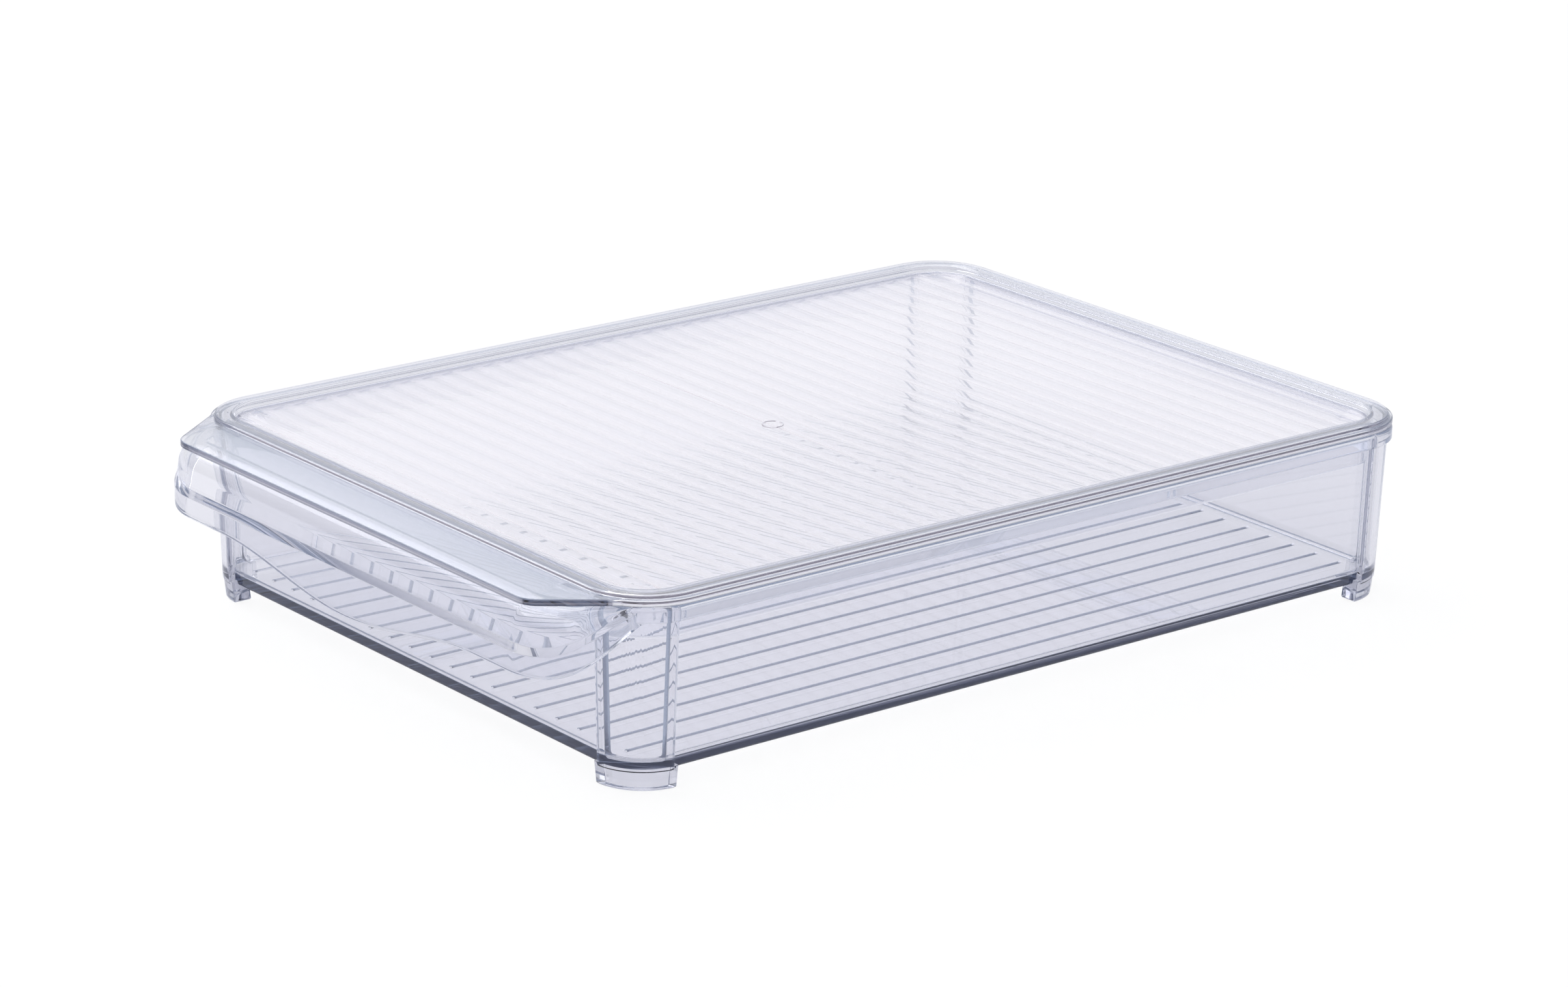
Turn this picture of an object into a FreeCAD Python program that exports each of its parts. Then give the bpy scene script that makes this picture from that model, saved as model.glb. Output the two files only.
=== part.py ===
import FreeCAD, Part
import math
import os

# Lidded refrigerator bin: a clear moulded tray with a turned-down front handle, and a lift-off lid.
# Millimetres, +Z up.  X runs across the bin, the handle faces -Y.  The origin is on the ground,
# at the middle of the whole bin's footprint.

# --- tray box ---
base_width = 250.0          # outside of the walls at the floor, across X
base_length = 343.0         # outside of the walls at the floor, along Y
base_radius = 17.0          # plan radius of the outer corners at the floor
draft = 0.035               # outward lean of every wall, mm per mm of height
foot_height = 6.4
floor_thickness = 3.0
wall = 2.2
rim_z = 64.5                # top face of the tray's rim
base_chamfer = 1.0          # broken edge round the underside

# --- corner posts and feet ---
# A post is the corner of the wall stepped outward, so there is a pocket of the same depth behind it.
post_proud = 2.5            # how far a corner post stands out of the walls
post_reach = 15.6           # from a wall's outer face to the end of the post on the next wall
pocket_short = 2.0          # the pocket ends this much nearer the corner than its post
foot_reach = 17.3           # from a wall's outer face to the end of the foot on the next wall
foot_wall = 7.0
foot_proud_low = 1.4        # a foot narrows to this much outside the walls' line at the ground

# --- raised lines on the floor ---
ridge_count = 19
ridge_pitch = 12.15
ridge_width = 1.6
ridge_height = 0.6
ridge_end_gap = 9.5         # from a ridge's end to the wall's outer face at the floor

# --- rim flange round three sides ---
flange_overhang = 4.0
flange_drop = 5.6
flange_thickness = 1.8
rim_round = 1.6

# --- front handle ---
panel_reach = 26.5          # from the front wall at the floor to the handle's front panel
panel_half_width = 123.5
panel_radius = 28.0         # plan radius where the front panel turns back to the tray
panel_thickness = 2.2
panel_top_round = 9.0
panel_top_gap = 0.1         # the handle's top lies this far under the rim's top face
handle_root = 12.0          # how far the handle's sides run back inside the walls' line
skirt_step = 1.4            # the thicker band along the handle's lower edge stands out this far
skirt_top_front_z = 48.5
skirt_top_side_z = 63.0
skirt_top_run = (-169.1, -201.1)    # between these Y the band's top edge falls
skirt_low_front_z = 40.2
skirt_low_side_z = rim_z - flange_drop
skirt_low_run = (-162.0, -200.0)    # between these Y the band's lower edge falls
belly_half_width = 76.0
belly_depth = 8.6

# --- lid ---
lid_gap = 0.2               # between the rim's top face and the lid's underside
lid_overhang = 0.5          # the lid's edge past the tray's flange
lid_edge_thickness = 2.3
lid_radius = 25.0
bead_height = 1.3           # raised band above the lid's edge
bead_inset = 1.4
bead_width = 7.4
bead_bevel = 0.8
recess_flare = 0.5          # outward lean of the panel's surrounding step
panel_recess = 2.8          # lid panel's top face below the raised band
lid_panel_thickness = 2.2
plug_clearance = 0.8        # between the plug and the tray's inner walls
plug_wall = 1.8
plug_bottom_z = 51.5
plug_lean = 0.035
rib_pitch = 9.2
rib_width = 4.6
rib_height = 0.2
rib_end_gap = 3.0
lip_reach = 27.1            # from the front wall at the floor to the lip's front edge
lip_half_width_front = 103.1
lip_half_width_back = 125.8 # at the lip's root, inside the lid's corners
lip_corner_radius = 10.0
lip_root = 12.0             # how far the lip runs back under the raised band
gate_ring_y = -15.0         # small ring left by the mould, forward of the lid's middle
gate_ring_radius = 4.0
gate_ring_wall = 0.6
gate_ring_height = 0.45

# --- modelling allowances ---
bite = 0.5                  # overlap between a raised detail and what it grows from
overrun = 20.0              # how far a cutting block runs past what it cuts
curve_steps = 8             # spans of an interpolated edge curve

# --- worked out from the above ---
half_width = base_width / 2
half_length = base_length / 2
rim_rise = rim_z - foot_height
rim_half_width = half_width + draft * rim_rise
rim_half_length = half_length + draft * rim_rise
flange_half_width = rim_half_width + flange_overhang
flange_half_length = rim_half_length + flange_overhang
lid_half_width = flange_half_width + lid_overhang
lid_half_length = flange_half_length + lid_overhang
handle_front = half_length + panel_reach + skirt_step
centre_shift = (handle_front - lid_half_length) / 2     # tray centre to the footprint's middle


def rounded_rectangle(half_x, half_y, radius, z):
    """Closed wire of a rounded rectangle about the tray's centre."""
    corners = ((1, 1, 0), (-1, 1, 90), (-1, -1, 180), (1, -1, 270))
    edges = []
    ends = []
    for sign_x, sign_y, start in corners:
        centre = FreeCAD.Vector(sign_x * (half_x - radius), sign_y * (half_y - radius), z)
        arc = Part.makeCircle(radius, centre, FreeCAD.Vector(0, 0, 1), start, start + 90)
        edges.append(arc)
        ends.append((arc.Vertexes[0].Point, arc.Vertexes[-1].Point))
    for index in range(4):
        edges.append(Part.makeLine(ends[index][1], ends[(index + 1) % 4][0]))
    return Part.Wire(Part.__sortEdges__(edges))


def stacked_block(sections):
    """Solid through rounded rectangles, each given as (half_x, half_y, radius, z)."""
    return Part.makeLoft([rounded_rectangle(*section) for section in sections], True, True)


def wall_section(z, offset=0.0):
    """Plan of the tray's outer walls at height z, moved outward by offset."""
    grow = draft * (z - foot_height) + offset
    return (half_width + grow, half_length + grow, base_radius + grow, z)


def joined(pieces):
    """One shape from overlapping pieces, fused one after another."""
    shape = pieces[0]
    for piece in pieces[1:]:
        shape = shape.fuse(piece)
    return shape


def box(x0, x1, y0, y1, z0, z1):
    return Part.makeBox(x1 - x0, y1 - y0, z1 - z0, FreeCAD.Vector(x0, y0, z0))


def falling_edge(run, z_back, z_front):
    """Smooth S-shaped curve in the YZ plane, from (run[0], z_back) down to (run[1], z_front)."""
    points = []
    for step in range(curve_steps + 1):
        part = step / curve_steps
        fall = (1 - math.cos(math.pi * part)) / 2
        y = run[0] + (run[1] - run[0]) * part
        points.append(FreeCAD.Vector(0, y, z_back + (z_front - z_back) * fall))
    curve = Part.BSplineCurve()
    curve.interpolate(points)
    return curve.toShape(), points[0], points[-1]


def side_cutter(run, z_back, z_front, z_far):
    """Everything between a falling edge and the level z_far, right across the bin."""
    edge, back, front = falling_edge(run, z_back, z_front)
    far_back = FreeCAD.Vector(0, back.y + overrun, back.z)
    far_front = FreeCAD.Vector(0, front.y - overrun, front.z)
    corner_front = FreeCAD.Vector(0, far_front.y, z_far)
    corner_back = FreeCAD.Vector(0, far_back.y, z_far)
    outline = Part.makePolygon([front, far_front, corner_front, corner_back, far_back, back])
    face = Part.Face(Part.Wire(Part.__sortEdges__([edge] + outline.Edges)))
    face.translate(FreeCAD.Vector(-base_width, 0, 0))
    return face.extrude(FreeCAD.Vector(2 * base_width, 0, 0))


def handle_prism(offset, z_top, top_round):
    """Plan of the handle, grown by offset, as a block under z_top with its top edge rounded."""
    back = -half_length + handle_root
    front = -half_length - panel_reach - offset
    half_x = panel_half_width + offset
    radius = panel_radius + offset
    side_end = front + radius
    right = FreeCAD.Vector(half_x - radius, side_end, 0)
    left = FreeCAD.Vector(-half_x + radius, side_end, 0)
    up = FreeCAD.Vector(0, 0, 1)
    edges = [
        Part.makeCircle(radius, right, up, 270, 360),
        Part.makeCircle(radius, left, up, 180, 270),
        Part.makeLine(FreeCAD.Vector(-half_x + radius, front, 0), FreeCAD.Vector(half_x - radius, front, 0)),
        Part.makeLine(FreeCAD.Vector(half_x, side_end, 0), FreeCAD.Vector(half_x, back, 0)),
        Part.makeLine(FreeCAD.Vector(half_x, back, 0), FreeCAD.Vector(-half_x, back, 0)),
        Part.makeLine(FreeCAD.Vector(-half_x, back, 0), FreeCAD.Vector(-half_x, side_end, 0)),
    ]
    block = Part.Face(Part.Wire(Part.__sortEdges__(edges))).extrude(FreeCAD.Vector(0, 0, z_top))
    if top_round > 0:
        rims = [e for e in block.Edges if e.BoundBox.ZMin > z_top - bite and e.BoundBox.YMin < back - bite]
        block = block.makeFillet(top_round, rims)
    return block


def belly_plate():
    """The deeper middle of the handle's lower band, in the plane of its front."""
    front = -half_length - panel_reach - skirt_step
    top = skirt_low_front_z + bite
    points = []
    for step in range(2 * curve_steps + 1):
        x = belly_half_width * (step / curve_steps - 1)
        drop = belly_depth * (1 + math.cos(math.pi * x / belly_half_width)) / 2
        points.append(FreeCAD.Vector(x, front, skirt_low_front_z - drop))
    curve = Part.BSplineCurve()
    curve.interpolate(points)
    left_top = FreeCAD.Vector(-belly_half_width, front, top)
    right_top = FreeCAD.Vector(belly_half_width, front, top)
    outline = Part.makePolygon([points[-1], right_top, left_top, points[0]])
    face = Part.Face(Part.Wire(Part.__sortEdges__([curve.toShape()] + outline.Edges)))
    return face.extrude(FreeCAD.Vector(0, skirt_step + panel_thickness, 0))


def handle_shell():
    below_band = side_cutter(skirt_low_run, skirt_low_side_z, skirt_low_front_z, -overrun)
    above_band = side_cutter(skirt_top_run, skirt_top_side_z, skirt_top_front_z, rim_z + overrun)
    panel = handle_prism(0, rim_z - panel_top_gap, panel_top_round).cut(below_band)
    band = handle_prism(skirt_step, rim_z - panel_top_gap, 0).cut(below_band).cut(above_band)
    finger_space = handle_prism(-panel_thickness, rim_z - panel_top_gap - panel_thickness,
                                panel_top_round - panel_thickness)
    return panel.fuse(band).cut(finger_space).fuse(belly_plate()), finger_space


def corner_boxes(reach, z0, z1):
    """Four boxes over the corners, each reaching inward from the walls' outer faces at the floor."""
    boxes = []
    for sign_x in (1, -1):
        for sign_y in (1, -1):
            x_ends = sorted((sign_x * (half_width - reach), sign_x * (half_width + overrun)))
            y_ends = sorted((sign_y * (half_length - reach), sign_y * (half_length + overrun)))
            boxes.append(box(*x_ends, *y_ends, z0, z1))
    return Part.makeCompound(boxes)


def floor_ridge(x):
    """One raised line along the floor, with half-round ends."""
    z = foot_height + floor_thickness - bite
    height = ridge_height + bite
    reach = half_length - ridge_end_gap - ridge_width / 2
    bar = box(x - ridge_width / 2, x + ridge_width / 2, -reach, reach, z, z + height)
    for y in (-reach, reach):
        bar = bar.fuse(Part.makeCylinder(ridge_width / 2, height, FreeCAD.Vector(x, y, z)))
    return bar


def rim_section(inset, z):
    """Outline of the rim's flange at height z, moved inward by inset."""
    radius = base_radius + flange_half_width - half_width - inset
    return (flange_half_width - inset, flange_half_length - inset, radius, z)


def flange_ring():
    """Turned-down flange round the rim: a ledge with a short skirt, its top edge rounded."""
    low = rim_z - flange_drop
    under_ledge = rim_z - flange_thickness
    outer = stacked_block([rim_section(0, low), rim_section(0, rim_z - rim_round),
                           rim_section(rim_round, rim_z)])
    gap = stacked_block([rim_section(flange_thickness, low - overrun),
                         rim_section(flange_thickness, under_ledge)])
    return outer.cut(gap)


def make_tray():
    body = stacked_block([wall_section(foot_height, -base_chamfer),
                          wall_section(foot_height + base_chamfer),
                          wall_section(rim_z)])
    posts = stacked_block([wall_section(foot_height, post_proud), wall_section(rim_z - bite, post_proud)])
    posts = posts.common(corner_boxes(post_reach, 0, rim_z))
    feet = stacked_block([wall_section(0, foot_proud_low), wall_section(foot_height + 2 * bite, post_proud)])
    feet = feet.cut(stacked_block([wall_section(-overrun, post_proud - foot_wall),
                                   wall_section(foot_height + bite, post_proud - foot_wall)]))
    feet = feet.common(corner_boxes(foot_reach, -overrun, foot_height + overrun))
    handle, finger_space = handle_shell()
    ring = flange_ring().cut(finger_space)
    outside = joined([body, posts, feet, ring, handle])
    floor_top = foot_height + floor_thickness
    inside = stacked_block([wall_section(floor_top, -wall), wall_section(rim_z + overrun, -wall)])
    pockets = stacked_block([wall_section(floor_top, post_proud - wall),
                             wall_section(rim_z + overrun, post_proud - wall)])
    pockets = pockets.common(corner_boxes(post_reach - pocket_short, 0, rim_z + 2 * overrun))
    tray = outside.cut(inside).cut(pockets)
    first = -(ridge_count - 1) / 2
    ridges = [floor_ridge((first + index) * ridge_pitch) for index in range(ridge_count)]
    return joined([tray] + ridges).removeSplitter()


def lip_tab(z0, z1):
    """Flat tab that covers the tray's handle, narrower towards the front."""
    front = -half_length - lip_reach
    back = -lid_half_length + lip_root
    face = Part.Face(Part.makePolygon([
        FreeCAD.Vector(lip_half_width_front, front, z0), FreeCAD.Vector(lip_half_width_back, back, z0),
        FreeCAD.Vector(-lip_half_width_back, back, z0), FreeCAD.Vector(-lip_half_width_front, front, z0),
        FreeCAD.Vector(lip_half_width_front, front, z0)]))
    tab = face.extrude(FreeCAD.Vector(0, 0, z1 - z0))
    uprights = [e for e in tab.Edges if e.BoundBox.ZLength > bite and e.BoundBox.YMax < back - bite]
    return tab.makeFillet(lip_corner_radius, uprights)


def lid_section(inset, z):
    """The lid's outline at height z, moved inward by inset."""
    return (lid_half_width - inset, lid_half_length - inset, lid_radius - inset, z)


def make_lid():
    low = rim_z + lid_gap
    edge_top = low + lid_edge_thickness
    top = edge_top + bead_height
    panel_top = top - panel_recess
    panel_low = panel_top - lid_panel_thickness
    inner_inset = bead_inset + bead_width
    plate = stacked_block([lid_section(0, low), lid_section(0, edge_top)])
    bead = stacked_block([lid_section(bead_inset, edge_top - bite), lid_section(bead_inset, top - bead_bevel),
                          lid_section(bead_inset + bead_bevel, top)])
    recess = stacked_block([lid_section(inner_inset, panel_top),
                            lid_section(inner_inset - recess_flare, top + bite)])
    plug_x = rim_half_width - wall - plug_clearance
    plug_y = rim_half_length - wall - plug_clearance
    plug_radius = base_radius + draft * rim_rise - wall - plug_clearance
    shrink = plug_lean * (low - plug_bottom_z)
    plug = stacked_block([(plug_x - shrink, plug_y - shrink, plug_radius - shrink, plug_bottom_z),
                          (plug_x, plug_y, plug_radius, low + bite)])
    inner = plug_wall + shrink
    hollow = stacked_block([(plug_x - inner, plug_y - inner, plug_radius - inner, plug_bottom_z - bite),
                            (plug_x - plug_wall, plug_y - plug_wall, plug_radius - plug_wall, panel_low)])
    lid = joined([plate, bead, plug, lip_tab(low, edge_top)]).cut(recess).cut(hollow)
    rib_half = lid_half_width - inner_inset - rib_end_gap
    span = 2 * (lid_half_length - inner_inset - rib_end_gap)
    count = int((span - rib_width) / rib_pitch) + 1
    ribs = []
    for index in range(count):
        y = (index - (count - 1) / 2) * rib_pitch
        ribs.append(box(-rib_half, rib_half, y - rib_width / 2, y + rib_width / 2,
                        panel_top - bite, panel_top + rib_height))
    gate_foot = FreeCAD.Vector(0, gate_ring_y, panel_top - bite)
    gate = Part.makeCylinder(gate_ring_radius, gate_ring_height + bite, gate_foot)
    gate = gate.cut(Part.makeCylinder(gate_ring_radius - gate_ring_wall, gate_ring_height + bite, gate_foot))
    return joined([lid, gate] + ribs).removeSplitter()


def save(shape, name):
    """Check that the piece is one closed solid, move it to the shared frame and write it."""
    shape.translate(FreeCAD.Vector(0, centre_shift, 0))
    solids = shape.Solids
    bounds = shape.optimalBoundingBox(False)
    size = [round(length, 2) for length in (bounds.XLength, bounds.YLength, bounds.ZLength)]
    print(name, "solids", len(solids), "valid", shape.isValid(), "size", size, "low y", round(bounds.YMin, 2))
    solids[0].exportStep("parts/" + name + ".step")


os.makedirs("parts", exist_ok=True)
save(make_tray(), "tray")
save(make_lid(), "lid")
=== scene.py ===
import math
import bmesh
import bpy
from mathutils import Matrix, Vector


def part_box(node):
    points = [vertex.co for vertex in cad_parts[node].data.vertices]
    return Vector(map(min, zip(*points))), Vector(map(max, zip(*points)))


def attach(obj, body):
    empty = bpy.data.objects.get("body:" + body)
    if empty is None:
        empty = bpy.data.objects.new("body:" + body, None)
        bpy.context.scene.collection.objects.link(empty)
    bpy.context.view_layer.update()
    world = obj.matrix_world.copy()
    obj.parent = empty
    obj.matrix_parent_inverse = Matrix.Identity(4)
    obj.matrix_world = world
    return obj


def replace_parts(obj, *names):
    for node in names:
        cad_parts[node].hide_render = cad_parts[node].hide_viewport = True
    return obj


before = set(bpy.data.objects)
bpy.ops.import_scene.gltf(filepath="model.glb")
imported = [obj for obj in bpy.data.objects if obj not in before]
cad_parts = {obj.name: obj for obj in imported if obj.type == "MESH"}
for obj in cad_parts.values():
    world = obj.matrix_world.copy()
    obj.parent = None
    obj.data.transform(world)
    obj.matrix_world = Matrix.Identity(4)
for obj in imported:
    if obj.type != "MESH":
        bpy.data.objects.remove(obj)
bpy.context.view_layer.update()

# A clear moulded refrigerator bin: a tray with corner feet and a turned-down front handle, and its lid.
# Lengths are in millimetres and become metres when a mesh is made.  The outer sizes come from the
# frame's boxes, and the outlines lie about the middle of the tray's base until a mesh is made.

MM = 0.001
tray_low, tray_high = [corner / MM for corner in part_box("tray")]
lid_low, lid_high = [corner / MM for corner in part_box("lid")]

# --- tray ---
BASE_HALF_X = 125.0
BASE_HALF_Y = 171.5
BASE_RADIUS = 17.0
DRAFT = 0.035                   # how far the walls lean outward, per unit of height
FOOT_HEIGHT = 6.4
FLOOR = 3.0
WALL = 2.2
RIM_Z = tray_high.z
BASE_EDGE_ROUND = 1.2
FLOOR_CORNER_ROUND = 3.0
RIM_INNER_ROUND = 0.9

FLANGE_OUT = tray_high.x - BASE_HALF_X
FLANGE_DROP = 5.6
FLANGE_THICKNESS = 1.8
FLANGE_TOP_ROUND = 1.6
FLANGE_LOW_ROUND = 0.7

POST_PROUD = 2.5                # step outward of the wall's corner, with a pocket as deep behind it
POST_REACH = 15.6               # from the next wall's face to the post's end
POCKET_REACH = 13.6
POST_EDGE_ROUND = 0.3
POST_LEADS = (2.4, 1.2)         # points on the wall's face this far before a post's end
FOOT_REACH = 17.3
FOOT_WALL = 7.0
FOOT_PROUD_LOW = 1.4            # how far a foot's underside stands out from the walls' faces
FOOT_EDGE_ROUND = 0.7

RIDGE_COUNT = 19
RIDGE_PITCH = 12.15
RIDGE_WIDTH = 1.6
RIDGE_HEIGHT = 0.6
RIDGE_HALF_LENGTH = 162.0
RIDGE_STEPS = 8                 # spans of a raised line's round top

CENTRE_Y = tray_high.y - (BASE_HALF_Y + FLANGE_OUT)     # the base's middle in the shared frame

# --- handle ---
HANDLE_HALF_X = 123.5
HANDLE_RADIUS = 28.0
SKIRT_STEP = 1.4
PANEL_THICKNESS = 2.2
PANEL_TOP_ROUND = 9.0
PANEL_FACE = 0.7                # the least flat face left under the panel's top round
PANEL_FACE_INSIDE = 1.4
CREASE_ROUNDS = (0.9, 0.8)
BAND_LOW_ROUNDS = (1.0, 0.8)
HANDLE_TOP = RIM_Z - 0.1
PANEL_FRONT = tray_low.y - CENTRE_Y + SKIRT_STEP
HANDLE_ROOT = 12.0
TOP_PLATE_REACH = 25.0
CREASE_RUN = (-169.1, -201.1)   # where the crease above the band starts and stops falling
CREASE_TOP_Z = (63.4, 50.6)
CREASE_LOW_Z = (62.2, 47.8)
SKIRT_LOW_RUN = (-162.0, -200.0)
SKIRT_LOW_Z = (RIM_Z - FLANGE_DROP, 40.2)
BELLY_HALF_X = 76.0
BELLY_DEPTH = 8.6               # how far the band dips in the middle
HANDLE_FRONT_STEPS = 28
HANDLE_SIDE_STEPS = 6
HANDLE_ROUND_STEPS = 6
CUT_LOW = 20.0                  # underside of the blocks that trim the handle and the flange
CUT_RISE = 20.0

# --- lid ---
LID_HALF_X = lid_high.x
LID_HALF_Y = lid_high.y - CENTRE_Y
LID_RADIUS = 25.0
LID_UNDERSIDE = RIM_Z + 0.2
LID_EDGE_TOP = LID_UNDERSIDE + 2.3
LID_TOP = lid_high.z
BEAD_INSET = 1.4
BEAD_WIDTH = 7.4
BEAD_LEAN = (0.2, 0.4)          # slope of the bead's outer and inner side
BEAD_ROUNDS = (0.4, 0.8, 0.9, 0.6)
LID_EDGE_ROUNDS = (0.4, 0.5)
PANEL_TOP = LID_TOP - 2.8
PANEL_LOW = PANEL_TOP - 2.2
PLUG_BOTTOM = lid_low.z
PLUG_INSET = 7.5
PLUG_WALL = 1.8
PLUG_ROUND = 0.8
PLUG_ROOT_ROUND = 1.0
RIB_PITCH = 9.2
RIB_WIDTH = 4.6
RIB_HEIGHT = 0.2
RIB_END_GAP = 3.0
LIP_FRONT = lid_low.y - CENTRE_Y
LIP_HALF_FRONT = 103.1
LIP_ROOT_ANGLE = -54.0          # where the lip's side leaves the lid's front corner
LIP_ROOT_PASS = 0.93            # the corner's plain arc goes on from this share of that angle
LIP_CORNER_ROUND = 10.0
LIP_ROOT_ROUND = 4.0
GATE_RING_Y = -15.0
GATE_RING_RADIUS = 4.0
GATE_RING_WALL = 0.6
GATE_RING_HEIGHT = 0.45
GATE_RING_ROUND = 0.2
GATE_RING_STEPS = 32

CORNER_STEPS = 24               # spans of a quarter turn in plan
ROUND_STEPS = 5                 # spans of a small round in section
END_STEPS = 4                   # spans of the round at a post's or foot's end
LIP_STEPS = 6
GATE_SECTION_STEPS = 3
BITE = 0.5                      # overlap between a detail and what it grows from
ROOT = 0.1                      # depth of a root in a wall, less than the wall behind a post's face
FLOOR_INWARD = -9.0             # a place inward of every round, on the floor and on the lid's panel
PANEL_INWARD = -20.0
WELD = MM * 0.001               # points nearer than this are one
WELD_AFTER_CUTS = MM * 0.0005
SHARP_ANGLE = math.radians(28)


# ---------------------------------------------------------------- outlines

def rounded_path(corners, closed=False, steps=ROUND_STEPS):
    """Points of a path through (a, b, radius) corners, each with its round."""
    points = []
    last = len(corners) - 1
    for index, (a, b, radius) in enumerate(corners):
        here = Vector((a, b))
        if radius <= 0 or (not closed and index in (0, last)):
            points.append(here)
            continue
        before = (Vector(corners[index - 1][:2]) - here).normalized()
        after = (Vector(corners[(index + 1) % len(corners)][:2]) - here).normalized()
        half = before.angle(after) / 2
        centre = here + (before + after).normalized() * (radius / math.sin(half))
        start = here + before * (radius / math.tan(half)) - centre
        end = here + after * (radius / math.tan(half)) - centre
        turn = math.copysign(math.pi - 2 * half, start.x * end.y - start.y * end.x)
        for step in range(steps + 1):
            angle = turn * step / steps
            c, s = math.cos(angle), math.sin(angle)
            points.append(centre + Vector((start.x * c - start.y * s, start.x * s + start.y * c)))
    return points


def rectangle_loop(half_x, half_y, radius, z):
    """Rounded rectangle about the tray's middle, anticlockwise, as points at height z."""
    loop = []
    for quarter, (sign_x, sign_y) in enumerate(((1, 1), (-1, 1), (-1, -1), (1, -1))):
        for step in range(CORNER_STEPS + 1):
            angle = (quarter + step / CORNER_STEPS) * math.pi / 2
            loop.append(Vector((sign_x * (half_x - radius) + radius * math.cos(angle),
                                sign_y * (half_y - radius) + radius * math.sin(angle), z)))
    return loop


def lean(z):
    """How far the walls' outer face has moved outward at height z."""
    return DRAFT * (z - FOOT_HEIGHT)


def wall_loop(offset, z):
    return rectangle_loop(BASE_HALF_X + offset, BASE_HALF_Y + offset, BASE_RADIUS + offset, z)


def lid_loop(offset, z):
    return rectangle_loop(LID_HALF_X + offset, LID_HALF_Y + offset, LID_RADIUS + offset, z)


# ---------------------------------------------------------------- meshes

def make_object(name, mesh):
    obj = bpy.data.objects.new(name, mesh)
    bpy.context.scene.collection.objects.link(obj)
    return obj


def skin(name, loops, ring=False):
    """Closed mesh through equal loops of points, capped at both ends or joined end to start as a ring."""
    bm = bmesh.new()
    rows = [[bm.verts.new((p[0] * MM, (p[1] + CENTRE_Y) * MM, p[2] * MM)) for p in loop]
            for loop in loops]
    pairs = list(zip(rows, rows[1:]))
    if ring:
        pairs.append((rows[-1], rows[0]))
    else:
        bm.faces.new(rows[0])
        bm.faces.new(rows[-1])
    for low, high in pairs:
        for i in range(len(low)):
            j = (i + 1) % len(low)
            bm.faces.new((low[i], low[j], high[j], high[i]))
    bmesh.ops.remove_doubles(bm, verts=bm.verts, dist=WELD)
    bmesh.ops.recalc_face_normals(bm, faces=bm.faces)
    mesh = bpy.data.meshes.new(name)
    bm.to_mesh(mesh)
    bm.free()
    return make_object(name, mesh)


def combine(base, tool, operation):
    """Adds the tool's solid to the base, or cuts it away, and drops the tool."""
    modifier = base.modifiers.new("combine", "BOOLEAN")
    modifier.operation = operation
    modifier.solver = "EXACT"
    modifier.object = tool
    graph = bpy.context.evaluated_depsgraph_get()
    graph.update()
    made = bpy.data.meshes.new_from_object(base.evaluated_get(graph))
    base.modifiers.remove(modifier)
    base.data = made
    bpy.data.objects.remove(tool)
    return base


def finish_surface(obj):
    """Smooth shading that keeps the flat faces flat and the rounds round."""
    mesh = obj.data
    bm = bmesh.new()
    bm.from_mesh(mesh)
    bmesh.ops.remove_doubles(bm, verts=bm.verts, dist=WELD_AFTER_CUTS)
    bm.to_mesh(mesh)
    bm.free()
    mesh.polygons.foreach_set("use_smooth", [True] * len(mesh.polygons))
    mesh.set_sharp_from_angle(angle=SHARP_ANGLE)
    weighted = obj.modifiers.new("weighted normals", "WEIGHTED_NORMAL")
    weighted.keep_sharp = True
    weighted.weight = 100


# ---------------------------------------------------------------- tray

def on_corner(radius, end):
    """Distance out from a corner's centre to its face, at end along the face from that centre."""
    return math.sqrt(radius ** 2 - max(end, 0) ** 2)


def stepped_loop(offset, z, reach):
    """Outline of the walls with each corner stepped outward, ending at reach from the walls' faces."""
    radius = BASE_RADIUS + offset
    proud = radius + POST_PROUD
    end = BASE_RADIUS - reach
    corner = [(on_corner(radius, end - lead), end - lead, 0) for lead in POST_LEADS]
    corner += [(on_corner(size, end), end, POST_EDGE_ROUND) for size in (radius, proud)]
    first = math.asin(end / proud)
    for step in range(1, CORNER_STEPS):
        angle = first + (math.pi / 2 - 2 * first) * step / CORNER_STEPS
        corner.append((proud * math.cos(angle), proud * math.sin(angle), 0))
    corner += [(b, a, edge_round) for a, b, edge_round in corner[3::-1]]
    centre_x, centre_y = BASE_HALF_X - BASE_RADIUS, BASE_HALF_Y - BASE_RADIUS
    path = []
    for sign_x, sign_y in ((1, 1), (-1, 1), (-1, -1), (1, -1)):
        path += [(sign_x * (centre_x + a), sign_y * (centre_y + b), edge_round)
                 for a, b, edge_round in corner[::sign_x * sign_y]]
    return [Vector((x, y, z)) for x, y in rounded_path(path, closed=True, steps=END_STEPS)]


def tray_walls():
    """Walls and floor, from the edge of the underside round the rim to the edge of the floor."""
    floor_top = FOOT_HEIGHT + FLOOR
    outside = rounded_path([
        (FLOOR_INWARD, FOOT_HEIGHT, 0), (0, FOOT_HEIGHT, BASE_EDGE_ROUND), (lean(RIM_Z), RIM_Z, 0)])
    inside = rounded_path([
        (lean(RIM_Z), RIM_Z, 0), (lean(RIM_Z) - WALL, RIM_Z, RIM_INNER_ROUND),
        (lean(floor_top) - WALL, floor_top, FLOOR_CORNER_ROUND), (FLOOR_INWARD, floor_top, 0)])
    return skin("tray", [stepped_loop(offset, z, POST_REACH) for offset, z in outside[1:]]
                + [stepped_loop(offset, z, POCKET_REACH) for offset, z in inside[1:-1]])


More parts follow.
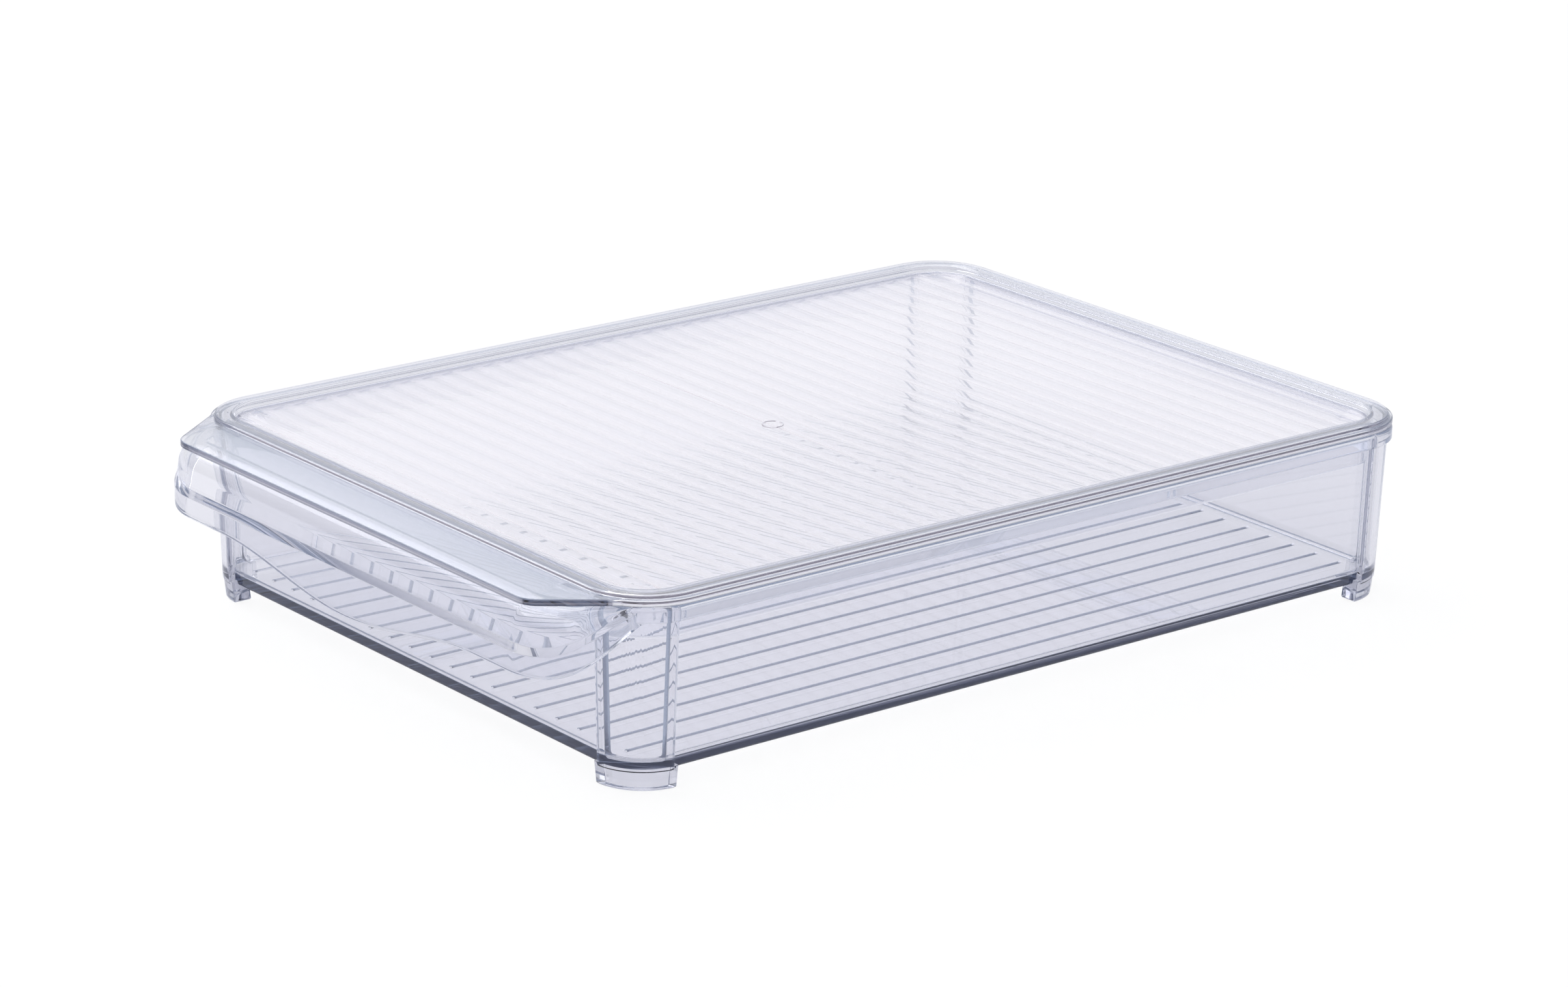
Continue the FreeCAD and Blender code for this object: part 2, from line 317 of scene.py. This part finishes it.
def tray_flange():
    """Turned-down flange round the rim, its inner edge buried in the walls."""
    top = RIM_Z - ROOT / 2
    low = RIM_Z - FLANGE_DROP
    ledge = RIM_Z - FLANGE_THICKNESS
    buried = lean(RIM_Z) - ROOT
    inner = FLANGE_OUT - FLANGE_THICKNESS
    path = rounded_path([
        (buried, top, 0), (FLANGE_OUT, top, FLANGE_TOP_ROUND), (FLANGE_OUT, low, FLANGE_LOW_ROUND),
        (inner, low, FLANGE_LOW_ROUND), (inner, ledge, FLANGE_LOW_ROUND), (buried, ledge, 0)],
        closed=True)
    return skin("flange", [wall_loop(offset, z) for offset, z in path], ring=True)


def handle_stations():
    """Places along the handle's plan, from its left root round the front to its right, with normals."""
    back = -BASE_HALF_Y + HANDLE_ROOT
    side_end = PANEL_FRONT + HANDLE_RADIUS
    straight = HANDLE_HALF_X - HANDLE_RADIUS
    right = []
    for step in range(HANDLE_FRONT_STEPS):
        x = straight * step / HANDLE_FRONT_STEPS
        right.append((Vector((x, PANEL_FRONT)), Vector((0, -1))))
    for step in range(CORNER_STEPS + 1):
        angle = -math.pi / 2 * (1 - step / CORNER_STEPS)
        normal = Vector((math.cos(angle), math.sin(angle)))
        right.append((Vector((straight, side_end)) + normal * HANDLE_RADIUS, normal))
    for step in range(1, HANDLE_SIDE_STEPS + 1):
        y = side_end + (back - side_end) * step / HANDLE_SIDE_STEPS
        right.append((Vector((HANDLE_HALF_X, y)), Vector((1, 0))))
    left = [(Vector((-p.x, p.y)), Vector((-n.x, n.y))) for p, n in reversed(right[1:])]
    return left + right


def falling(run, heights, y):
    """Smooth S from heights[0] at run[0] to heights[1] at run[1]."""
    part = min(max((y - run[0]) / (run[1] - run[0]), 0), 1)
    return heights[0] + (heights[1] - heights[0]) * (1 - math.cos(math.pi * part)) / 2


def handle_shell():
    """The handle's top plate, front panel and thicker band, as sections along its plan."""
    loops = []
    for place, normal in handle_stations():
        y = place.y + normal.y * SKIRT_STEP
        crease_top = falling(CREASE_RUN, CREASE_TOP_Z, y)
        crease_low = falling(CREASE_RUN, CREASE_LOW_Z, y)
        low = falling(SKIRT_LOW_RUN, SKIRT_LOW_Z, y)
        if abs(place.x) < BELLY_HALF_X:
            low -= BELLY_DEPTH * (1 + math.cos(math.pi * place.x / BELLY_HALF_X)) / 2
        top_round = min(PANEL_TOP_ROUND, HANDLE_TOP - crease_top - PANEL_FACE)
        under = HANDLE_TOP - PANEL_THICKNESS
        inner_round = min(PANEL_TOP_ROUND - PANEL_THICKNESS, under - low - PANEL_FACE_INSIDE)
        path = rounded_path([
            (-TOP_PLATE_REACH, HANDLE_TOP, 0), (0, HANDLE_TOP, top_round),
            (0, crease_top, CREASE_ROUNDS[0]), (SKIRT_STEP, crease_low, CREASE_ROUNDS[1]),
            (SKIRT_STEP, low, BAND_LOW_ROUNDS[0]), (-PANEL_THICKNESS, low, BAND_LOW_ROUNDS[1]),
            (-PANEL_THICKNESS, under, inner_round), (-TOP_PLATE_REACH, under, 0)],
            closed=True, steps=HANDLE_ROUND_STEPS)
        loops.append([Vector((place.x + normal.x * offset, place.y + normal.y * offset, z))
                      for offset, z in path])
    return skin("handle", loops)


def handle_inside():
    """Block that takes the flange away behind the handle."""
    inset = PANEL_THICKNESS / 2
    outline = [place - normal * inset for place, normal in handle_stations()]
    return skin("handle_inside", [[Vector((p.x, p.y, z)) for p in outline]
                                  for z in (CUT_LOW, RIM_Z - inset)])


def inside_block():
    """Block that fills the tray almost to its walls' outer faces."""
    return skin("inside", [wall_loop(lean(z) - ROOT, z) for z in (CUT_LOW, RIM_Z + CUT_RISE)])


def corner_loop(out, inner, inset, z, sign_x, sign_y):
    """Outline of a corner foot: a strip round the corner between two offsets from the walls' faces."""
    end = BASE_RADIUS - FOOT_REACH + inset
    outline = []
    for radius, order in ((BASE_RADIUS + out, 1), (BASE_RADIUS + inner, -1)):
        first = math.asin(end / radius)
        side = [(on_corner(radius, end), end, POST_EDGE_ROUND)]
        for step in range(1, CORNER_STEPS):
            angle = first + (math.pi / 2 - 2 * first) * step / CORNER_STEPS
            side.append((radius * math.cos(angle), radius * math.sin(angle), 0))
        side.append((end, on_corner(radius, end), POST_EDGE_ROUND))
        outline += side[::order]
    centre_x, centre_y = BASE_HALF_X - BASE_RADIUS, BASE_HALF_Y - BASE_RADIUS
    return [Vector((sign_x * (centre_x + a), sign_y * (centre_y + b), z))
            for a, b in rounded_path(outline, closed=True, steps=END_STEPS)]


def corner_foot(sign_x, sign_y):
    """Foot under one corner, rounded underneath, with its top inside the post."""
    levels = []
    for step in range(ROUND_STEPS + 1):
        angle = math.pi / 2 * step / ROUND_STEPS
        levels.append((FOOT_EDGE_ROUND * (1 - math.cos(angle)),
                       FOOT_EDGE_ROUND * (1 - math.sin(angle))))
    top = FOOT_HEIGHT + BASE_EDGE_ROUND + BITE
    levels.append((top, 0))
    loops = []
    for z, inset in levels:
        out = FOOT_PROUD_LOW + (POST_PROUD - 2 * ROOT - FOOT_PROUD_LOW) * z / top - inset
        loops.append(corner_loop(out, out + 2 * inset - FOOT_WALL, inset, z, sign_x, sign_y))
    return skin("foot", loops)


def floor_ridge(x):
    """One raised line along the floor, round on top and at its ends."""
    floor_top = FOOT_HEIGHT + FLOOR
    loops = []
    end_steps = 6
    ends = [math.pi / 2 * step / end_steps for step in range(1, end_steps + 1)]
    stations = [(-RIDGE_HALF_LENGTH + RIDGE_WIDTH * (1 - math.sin(a)), math.sin(a)) for a in ends]
    stations += [(-y, size) for y, size in reversed(stations)]
    for y, size in stations:
        loop = [Vector((x - RIDGE_WIDTH / 2 * size, y, floor_top - BITE))]
        for step in range(RIDGE_STEPS + 1):
            angle = math.pi * (1 - step / RIDGE_STEPS)
            loop.append(Vector((x + RIDGE_WIDTH / 2 * size * math.cos(angle), y,
                                floor_top + RIDGE_HEIGHT * size * math.sin(angle))))
        loop.append(Vector((x + RIDGE_WIDTH / 2 * size, y, floor_top - BITE)))
        loops.append(loop)
    return skin("ridge", loops)


def make_tray():
    tray = tray_walls()
    combine(tray, combine(handle_shell(), inside_block(), "DIFFERENCE"), "UNION")
    combine(tray, combine(tray_flange(), handle_inside(), "DIFFERENCE"), "UNION")
    for sign_x in (1, -1):
        for sign_y in (1, -1):
            combine(tray, corner_foot(sign_x, sign_y), "UNION")
    for index in range(RIDGE_COUNT):
        combine(tray, floor_ridge((index - (RIDGE_COUNT - 1) / 2) * RIDGE_PITCH), "UNION")
    tray.name = "tray_clear"
    finish_surface(tray)
    return tray


# ---------------------------------------------------------------- lid

def lip_outline():
    """The lid's outline with its front lip, point for point beside a plain lid loop."""
    plain = lid_loop(0, 0)
    per_corner = CORNER_STEPS + 1
    centre = Vector((LID_HALF_X - LID_RADIUS, -(LID_HALF_Y - LID_RADIUS)))
    root = math.radians(LIP_ROOT_ANGLE)
    root_point = centre + LID_RADIUS * Vector((math.cos(root), math.sin(root)))
    passed = root * LIP_ROOT_PASS
    after_root = centre + LID_RADIUS * Vector((math.cos(passed), math.sin(passed)))
    fillets = rounded_path([(0, LIP_FRONT, 0), (LIP_HALF_FRONT, LIP_FRONT, LIP_CORNER_ROUND),
                            (*root_point, LIP_ROOT_ROUND), (*after_root, 0)], steps=LIP_STEPS)[1:-1]
    arc_count = per_corner - len(fillets)
    right = list(fillets)
    for step in range(arc_count):
        angle = passed * (1 - step / (arc_count - 1))
        right.append(centre + LID_RADIUS * Vector((math.cos(angle), math.sin(angle))))
    left = [Vector((-p.x, p.y)) for p in reversed(right)]
    outline = [p.to_2d() for p in plain[:2 * per_corner]] + left + right
    normals = []
    for index, here in enumerate(outline):
        along = (outline[(index + 1) % len(outline)] - here).normalized()
        along += (here - outline[index - 1]).normalized()
        normals.append(Vector((along.y, -along.x)).normalized())
    return outline, normals


def lid_body():
    """Panel, plug skirt, edge plate with its lip, and raised bead."""
    outline, normals = lip_outline()
    plug_lean = DRAFT * (LID_UNDERSIDE - PLUG_BOTTOM)
    bead_inner = -BEAD_INSET - BEAD_WIDTH
    path = rounded_path([
        (PANEL_INWARD, PANEL_LOW, 0), (-PLUG_INSET - PLUG_WALL, PANEL_LOW, PLUG_ROOT_ROUND),
        (-PLUG_INSET - PLUG_WALL - plug_lean, PLUG_BOTTOM, PLUG_ROUND),
        (-PLUG_INSET - plug_lean, PLUG_BOTTOM, PLUG_ROUND), (-PLUG_INSET, LID_UNDERSIDE, PLUG_ROUND),
        (0, LID_UNDERSIDE, LID_EDGE_ROUNDS[0]), (0, LID_EDGE_TOP, LID_EDGE_ROUNDS[1]),
        (-BEAD_INSET, LID_EDGE_TOP, BEAD_ROUNDS[0]),
        (-BEAD_INSET - BEAD_LEAN[0], LID_TOP, BEAD_ROUNDS[1]),
        (bead_inner + BEAD_LEAN[1], LID_TOP, BEAD_ROUNDS[2]), (bead_inner, PANEL_TOP, BEAD_ROUNDS[3]),
        (PANEL_INWARD, PANEL_TOP, 0)])
    loops = []
    for offset, z in path:
        if offset > -BEAD_INSET + BEAD_LEAN[0]:     # only the edge plate has the lip
            loops.append([Vector((p.x + n.x * offset, p.y + n.y * offset, z))
                          for p, n in zip(outline, normals)])
        else:
            loops.append(lid_loop(offset, z))
    return skin("lid", loops)


def lid_rib(y, half_x):
    """One raised strip across the lid's panel, with sloping edges."""
    loops = []
    for z, inset in ((PANEL_TOP - BITE, 0), (PANEL_TOP, 0),
                     (PANEL_TOP + RIB_HEIGHT, 2 * RIB_HEIGHT)):
        x, w = half_x - inset, RIB_WIDTH / 2 - inset
        loops.append([Vector((a, y + b, z)) for a, b in ((x, w), (-x, w), (-x, -w), (x, -w))])
    return skin("rib", loops)


def gate_ring():
    """Small ring that the mould leaves on the panel."""
    inner = GATE_RING_RADIUS - GATE_RING_WALL
    top = PANEL_TOP + GATE_RING_HEIGHT
    section = rounded_path([
        (inner, PANEL_TOP - BITE, 0), (inner, top, GATE_RING_ROUND),
        (GATE_RING_RADIUS, top, GATE_RING_ROUND), (GATE_RING_RADIUS, PANEL_TOP - BITE, 0)],
        closed=True, steps=GATE_SECTION_STEPS)
    loops = []
    for step in range(GATE_RING_STEPS):
        angle = 2 * math.pi * step / GATE_RING_STEPS
        loops.append([Vector((r * math.cos(angle), GATE_RING_Y + r * math.sin(angle), z))
                      for r, z in section])
    return skin("gate", loops, ring=True)


def make_lid():
    lid = lid_body()
    half_x = LID_HALF_X - BEAD_INSET - BEAD_WIDTH - RIB_END_GAP
    span = 2 * (LID_HALF_Y - BEAD_INSET - BEAD_WIDTH - RIB_END_GAP)
    count = int((span - RIB_WIDTH) / RIB_PITCH) + 1
    for index in range(count):
        combine(lid, lid_rib((index - (count - 1) / 2) * RIB_PITCH, half_x), "UNION")
    combine(lid, gate_ring(), "UNION")
    lid.name = "lid_clear"
    lid.data.materials.append(make_plastic("lid_plastic", (
        PANEL_TOP - ROOT / 4, PANEL_TOP + ROOT / 4, PANEL_TOP + RIB_HEIGHT + ROOT)))
    finish_surface(lid)
    return lid


# ---------------------------------------------------------------- materials

class Nodes:
    """Short way to build a node tree."""

    MIX_COLOURS = (6, 7)            # places of a colour mix's two inputs, and of its result
    MIX_RESULT = 2

    def __init__(self, tree):
        self.tree = tree
        tree.nodes.clear()

    def add(self, kind, **values):
        node = self.tree.nodes.new(kind)
        for name, value in values.items():
            if hasattr(node, name):
                setattr(node, name, value)
            else:
                node.inputs[name.replace("_", " ")].default_value = value
        return node

    def link(self, source, target):
        self.tree.links.new(source, target)

    def number(self, operation, first, second):
        """Result of a sum on two values, each a socket or a number."""
        node = self.add("ShaderNodeMath", operation=operation)
        for index, value in enumerate((first, second)):
            if isinstance(value, (int, float)):
                node.inputs[index].default_value = value
            else:
                self.link(value, node.inputs[index])
        return node.outputs["Value"]

    def between(self, value, from_low, from_high, to_low, to_high):
        node = self.add("ShaderNodeMapRange", From_Min=from_low, From_Max=from_high,
                        To_Min=to_low, To_Max=to_high)
        self.link(value, node.inputs["Value"])
        return node.outputs["Result"]

    def mixed(self, share, first, second):
        """Mix of two colours, each a socket or four numbers."""
        node = self.add("ShaderNodeMix", data_type="RGBA")
        self.link(share, node.inputs[0])
        for index, value in zip(self.MIX_COLOURS, (first, second)):
            if isinstance(value, tuple):
                node.inputs[index].default_value = value
            else:
                self.link(value, node.inputs[index])
        return node.outputs[self.MIX_RESULT]

    def seen_or_not(self, unseen, seen, out):
        """Shows the camera one shader and every other ray another."""
        path = self.add("ShaderNodeLightPath")
        mix = self.add("ShaderNodeMixShader")
        self.link(path.outputs["Is Camera Ray"], mix.inputs[0])
        self.link(unseen, mix.inputs[1])
        self.link(seen, mix.inputs[2])
        self.link(mix.outputs["Shader"], out.inputs["Surface"])


BOUNCES = 10
GLOSSY_BOUNCES = 16
INDEX = 1.56                    # refraction
SURFACE_TINT = (0.965, 0.963, 0.977, 1)
DEPTH_TINT = (0.812, 0.817, 0.85, 1)
DEPTH_DENSITY = 130.0
HAZE_ROUGHNESS = (0.0, 0.02)
FLOW_BUMP = 0.05
FLOW_DEPTH = 0.0015
NOISE_RANGE = (0.35, 0.65)      # the part of a noise's range that is used

TRAPPED_DEPTH = 7               # painted glow: light still in the plastic after this many bounces is given a slate-grey glow, which draws its thick edges
# colour of that painted slate-grey glow
TRAPPED_PAINTED_GLOW = (0.142, 0.164, 0.198, 1)

# colour of the painted glow that makes the lid's panel look milky
PANEL_PAINTED_GLOW_COLOUR = (0.17, 0.15, 0.14, 1)
PANEL_GLOW = 0.45               # painted glow, standing in for light that the lid's panel scatters, as a share of the glow colour above
STRIP_GLOW = 0.2                # painted glow that its frosted strips add to that
STRIP_ROUGHNESS = (0.10, 0.20)
STREAK_STRETCH = (1, 12, 1)


def make_plastic(name, panel_heights=None):
    """Clear moulded plastic: faint flow waves, a slight haze that varies, a tint that grows with depth,
    and a painted slate-grey glow in rays still inside after many bounces.  The lid's panel lies between
    the first and last of its heights and gives off a painted glow that makes it look milky; its strips
    lie between the second and last, glow more, and are rough with streaks."""
    material = bpy.data.materials.new(name)
    material.use_nodes = True
    n = Nodes(material.node_tree)
    place = n.add("ShaderNodeTexCoord").outputs["Object"]
    flow = n.add("ShaderNodeTexNoise", Scale=9.0, Detail=2.0, Roughness=0.4)
    n.link(place, flow.inputs["Vector"])
    haze = n.add("ShaderNodeTexNoise", Scale=60.0, Detail=3.0, Roughness=0.6)
    n.link(place, haze.inputs["Vector"])
    roughness = n.between(haze.outputs["Fac"], *NOISE_RANGE, *HAZE_ROUGHNESS)
    bump = n.add("ShaderNodeBump", Strength=FLOW_BUMP, Distance=FLOW_DEPTH)
    n.link(flow.outputs["Fac"], bump.inputs["Height"])
    # painted glow: rays deeper than TRAPPED_DEPTH give off slate-grey light
    path = n.add("ShaderNodeLightPath")
    glow = n.number("GREATER_THAN", path.outputs["Ray Depth"], TRAPPED_DEPTH)
    surface = n.add("ShaderNodeBsdfPrincipled", IOR=INDEX)
    surface.inputs["Base Color"].default_value = SURFACE_TINT
    surface.inputs["Transmission Weight"].default_value = 1.0
    surface.inputs["Emission Color"].default_value = TRAPPED_PAINTED_GLOW
    if panel_heights:
        split = n.add("ShaderNodeSeparateXYZ")
        n.link(place, split.inputs["Vector"])
        low, middle, high = [height * MM for height in panel_heights]
        below = n.number("LESS_THAN", split.outputs["Z"], high)
        panel = n.number("MULTIPLY", n.number("GREATER_THAN", split.outputs["Z"], low), below)
        strips = n.number("MULTIPLY", n.number("GREATER_THAN", split.outputs["Z"], middle), below)
        stretch = n.add("ShaderNodeMapping", Scale=STREAK_STRETCH)
        n.link(place, stretch.inputs["Vector"])
        streaks = n.add("ShaderNodeTexNoise", Scale=90.0, Detail=4.0, Roughness=0.7)
        n.link(stretch.outputs["Vector"], streaks.inputs["Vector"])
        frost = n.between(streaks.outputs["Fac"], *NOISE_RANGE, *STRIP_ROUGHNESS)
        roughness = n.number("ADD", roughness, n.number("MULTIPLY", strips, frost))
        # painted glow: the panel and its strips give off light in place of scattered light, so they look
        # milky
        glow = n.number("ADD", glow, n.number("MULTIPLY", panel, PANEL_GLOW))
        glow = n.number("ADD", glow, n.number("MULTIPLY", strips, STRIP_GLOW))
        n.link(n.mixed(panel, TRAPPED_PAINTED_GLOW, PANEL_PAINTED_GLOW_COLOUR), surface.inputs["Emission Color"])
    n.link(roughness, surface.inputs["Roughness"])
    n.link(bump.outputs["Normal"], surface.inputs["Normal"])
    n.link(glow, surface.inputs["Emission Strength"])
    depth = n.add("ShaderNodeVolumeAbsorption", Density=DEPTH_DENSITY, Color=DEPTH_TINT)
    out = n.add("ShaderNodeOutputMaterial")
    n.link(surface.outputs["BSDF"], out.inputs["Surface"])
    n.link(depth.outputs["Volume"], out.inputs["Volume"])
    return material


# ---------------------------------------------------------------- stage, light and camera

AZIMUTH = math.radians(50.97)
ELEVATION = math.radians(18.22)
ROLL = math.radians(1.11)
CAMERA_DISTANCE = 1825.7
AIM_RIGHT = -6.65               # the view's middle, right of and above the middle of the tray's base
AIM_UP = 29.0
LENS = 116.2
SENSOR_WIDTH = 36
CLIP = (0.05, 50)

FLOOR_HALF_SIZE = 12.0
FLOOR_DROP = 0.0002             # below the feet, so that they don't share a plane
FLOOR_UNSEEN = ((0.80, 0.80, 0.84, 1), 0.6)     # paper's shade, and how much of it is its own light
FLOOR_SEEN = ((0.98, 0.98, 0.98, 1), 0.88)

STUDIO_TINT = (0.96, 0.975, 1)
STUDIO_WHITE = ((0.0, 0.92), (0.3, 1.0), (0.6, 1.1), (1.0, 1.25))       # (height, level)
STUDIO_DARK = ((0.0, 0.07), (0.25, 0.12), (0.5, 0.6), (0.75, 1.25))
STUDIO_EDGE = (-0.65, 0.0)      # how far round the white starts to darken, and where it is all dark

KEY_LIGHT = ("key", (-1.2, -0.6, 1.8), (2.4, 1.8), 24)      # name, place, size, power
FILL_LIGHT = ("fill", (1.6, -1.2, 1.3), (1.8, 1.8), 8)


def make_floor():
    """Pale paper, which looks nearly white itself and a little greyer in the plastic."""
    size = FLOOR_HALF_SIZE
    mesh = bpy.data.meshes.new("floor")
    mesh.from_pydata([(-size, -size, 0), (size, -size, 0), (size, size, 0), (-size, size, 0)], [],
                     [(0, 1, 2, 3)])
    floor = make_object("floor", mesh)
    floor.location.z = -FLOOR_DROP
    material = bpy.data.materials.new("floor_paper")
    material.use_nodes = True
    n = Nodes(material.node_tree)
    shades = []
    for shade, glow in (FLOOR_UNSEEN, FLOOR_SEEN):
        paper = n.add("ShaderNodeBsdfDiffuse", Color=shade)
        lit = n.add("ShaderNodeEmission", Strength=1.0, Color=shade)
        both = n.add("ShaderNodeMixShader", Fac=glow)
        n.link(paper.outputs["BSDF"], both.inputs[1])
        n.link(lit.outputs["Emission"], both.inputs[2])
        shades.append(both.outputs["Shader"])
    n.seen_or_not(*shades, n.add("ShaderNodeOutputMaterial"))
    mesh.materials.append(material)


def make_world():
    """Soft studio: white all round, and a dark room on the side that the photograph was taken from,
    which draws the plastic's edges.  The camera itself sees plain white."""
    world = bpy.data.worlds.new("studio")
    bpy.context.scene.world = world
    world.use_nodes = True
    n = Nodes(world.node_tree)
    place = n.add("ShaderNodeTexCoord").outputs["Generated"]
    split = n.add("ShaderNodeSeparateXYZ")
    n.link(place, split.inputs["Vector"])
    sides = []
    for levels in (STUDIO_WHITE, STUDIO_DARK):
        ramp = n.add("ShaderNodeValToRGB")
        stops = ramp.color_ramp.elements
        while len(stops) < len(levels):
            stops.new(0.5)
        for stop, (height, level) in zip(stops, levels):
            stop.position = height
            stop.color = [level * part for part in STUDIO_TINT] + [1]
        n.link(split.outputs["Z"], ramp.inputs["Fac"])
        sides.append(ramp.outputs["Color"])
    toward = n.add("ShaderNodeVectorMath", operation="DOT_PRODUCT")
    toward.inputs[1].default_value = (math.sin(AZIMUTH), -math.cos(AZIMUTH), 0)
    n.link(place, toward.inputs[0])
    dark = n.between(toward.outputs["Value"], *STUDIO_EDGE, 0, 1)
    studio = n.add("ShaderNodeBackground", Strength=1.0)
    n.link(n.mixed(dark, *sides), studio.inputs["Color"])
    backdrop = n.add("ShaderNodeBackground", Strength=1.0, Color=(1, 1, 1, 1))
    n.seen_or_not(studio.outputs["Background"], backdrop.outputs["Background"],
                  n.add("ShaderNodeOutputWorld"))


def make_light(name, place, size, power):
    lamp = bpy.data.lights.new(name, "AREA")
    lamp.shape = "RECTANGLE"
    lamp.size, lamp.size_y = size
    lamp.energy = power
    obj = bpy.data.objects.new(name, lamp)
    bpy.context.scene.collection.objects.link(obj)
    obj.location = place
    obj.rotation_mode = "QUATERNION"
    obj.rotation_quaternion = (-Vector(place)).to_track_quat("-Z", "Y")


def make_camera():
    data = bpy.data.cameras.new("camera")
    data.lens = LENS
    data.sensor_width = SENSOR_WIDTH
    data.clip_start, data.clip_end = CLIP
    camera = bpy.data.objects.new("camera", data)
    bpy.context.scene.collection.objects.link(camera)
    back = Vector((math.sin(AZIMUTH) * math.cos(ELEVATION),
                   -math.cos(AZIMUTH) * math.cos(ELEVATION), math.sin(ELEVATION)))
    level_right = Vector((math.cos(AZIMUTH), math.sin(AZIMUTH), 0))
    level_up = back.cross(level_right)
    right = level_right * math.cos(ROLL) + level_up * math.sin(ROLL)
    up = back.cross(right)
    middle = Vector((0, CENTRE_Y, FOOT_HEIGHT))
    place = middle + right * AIM_RIGHT + up * AIM_UP + back * CAMERA_DISTANCE
    camera.rotation_mode = "QUATERNION"
    camera.rotation_quaternion = Matrix((right, up, back)).transposed().to_quaternion()
    camera.location = place * MM
    bpy.context.scene.camera = camera


scene = bpy.context.scene
scene.view_settings.view_transform = "Standard"
scene.cycles.max_bounces = BOUNCES
scene.cycles.transmission_bounces = BOUNCES
scene.cycles.glossy_bounces = GLOSSY_BOUNCES
scene.cycles.transparent_max_bounces = GLOSSY_BOUNCES
scene.cycles.use_denoising = True
scene.cycles.blur_glossy = 0.0

make_camera()
make_world()
make_floor()
make_light(*KEY_LIGHT)
make_light(*FILL_LIGHT)

tray = make_tray()
tray.data.materials.append(make_plastic("tray_plastic"))
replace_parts(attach(tray, "tray"), "tray")

lid = make_lid()
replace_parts(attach(lid, "lid"), "lid")
